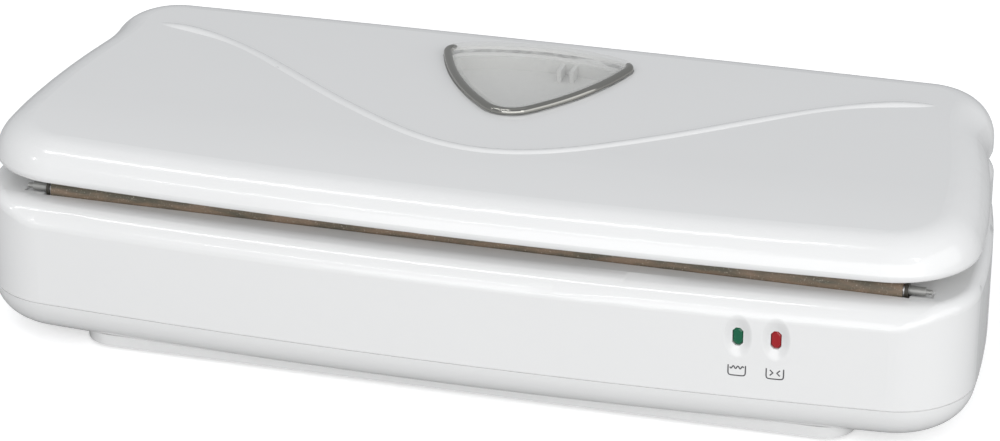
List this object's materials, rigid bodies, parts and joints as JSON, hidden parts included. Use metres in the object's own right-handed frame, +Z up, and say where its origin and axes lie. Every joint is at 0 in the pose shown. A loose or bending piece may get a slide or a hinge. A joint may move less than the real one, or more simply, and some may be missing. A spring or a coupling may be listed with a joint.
{
  "type": "vacuum sealer",
  "caption": "Table-top vacuum sealer with waisted white housing, hinged lid with clear window, and a full-width heated sealing bar behind the front lip.",
  "frame": {"origin": "middle of the footprint on the surface the feet rest on", "axes": "+X to the right along the sealing bar, -Y to the front, +Z up"},
  "size_m": [0.375, 0.165, 0.0865],
  "materials": {
    "white_shell": "glossy moulded",
    "liner_plastic": "fine satin",
    "gasket_rubber": "closed-cell foam",
    "strip_silicone": "soft silicone",
    "foot_rubber": "matt rubber",
    "steel": "plated",
    "terminal_metal": "turned",
    "bar_alloy": "extruded",
    "woven_tape": "coated glass weave",
    "dark_disc": "dark moulded",
    "green_jewel": "tinted clear",
    "red_jewel": "tinted clear",
    "clear_lens": "polished clear",
    "chrome_trim": "bright plated",
    "board": "laminate",
    "components": "moulded",
    "core_iron": "varnished sheet",
    "coil_wrap": "wound and taped",
    "pump_plastic": "moulded",
    "plunger_plastic": "smooth"
  },
  "bodies": {
    "base": {"base_tray": "white_shell", "upper_housing": "white_shell", "base_gasket": "gasket_rubber", "feet": "foot_rubber", "pump_mount": "foot_rubber", "cord_gland": "foot_rubber", "pump_hose": "foot_rubber", "housing_screws": "steel", "heating_band": "steel", "pump_motor": "steel", "bar_terminals": "terminal_metal", "seal_carrier": "bar_alloy", "ptfe_tape": "woven_tape", "bar_discs": "dark_disc", "green_lens": "green_jewel", "red_lens": "red_jewel", "control_board": "board", "lamp_board": "board", "board_parts": "components", "lamp_lights": "components", "lid_switches": "components", "vacuum_switch": "components", "vent_valve": "components", "transformer_core": "core_iron", "transformer_coil": "coil_wrap", "pump_head": "pump_plastic", "port_nozzle": "pump_plastic", "suction_filter": "pump_plastic"},
    "lid": {"lid_shell": "white_shell", "lid_liner": "liner_plastic", "lid_gasket": "gasket_rubber", "pressure_strip": "strip_silicone", "window_lens": "clear_lens", "window_trim": "chrome_trim", "window_well": "liner_plastic", "liner_screws": "steel", "hinge_pins": "steel"},
    "left_plunger_body": {"left_plunger": "plunger_plastic"},
    "right_plunger_body": {"right_plunger": "plunger_plastic"}
  },
  "joints": [
    {"name": "lid_hinge", "type": "hinge", "parent": "base", "child": "lid", "pos_m": [0, 0.0779, 0.0645], "axis": [-1, 0, 0], "range_deg": [0, 85]},
    {"name": "left_plunger_slide", "type": "slide", "parent": "base", "child": "left_plunger_body", "axis": [0, 0, -1], "range_m": [0, 0.002]},
    {"name": "right_plunger_slide", "type": "slide", "parent": "base", "child": "right_plunger_body", "axis": [0, 0, -1], "range_m": [0, 0.002]}
  ]
}
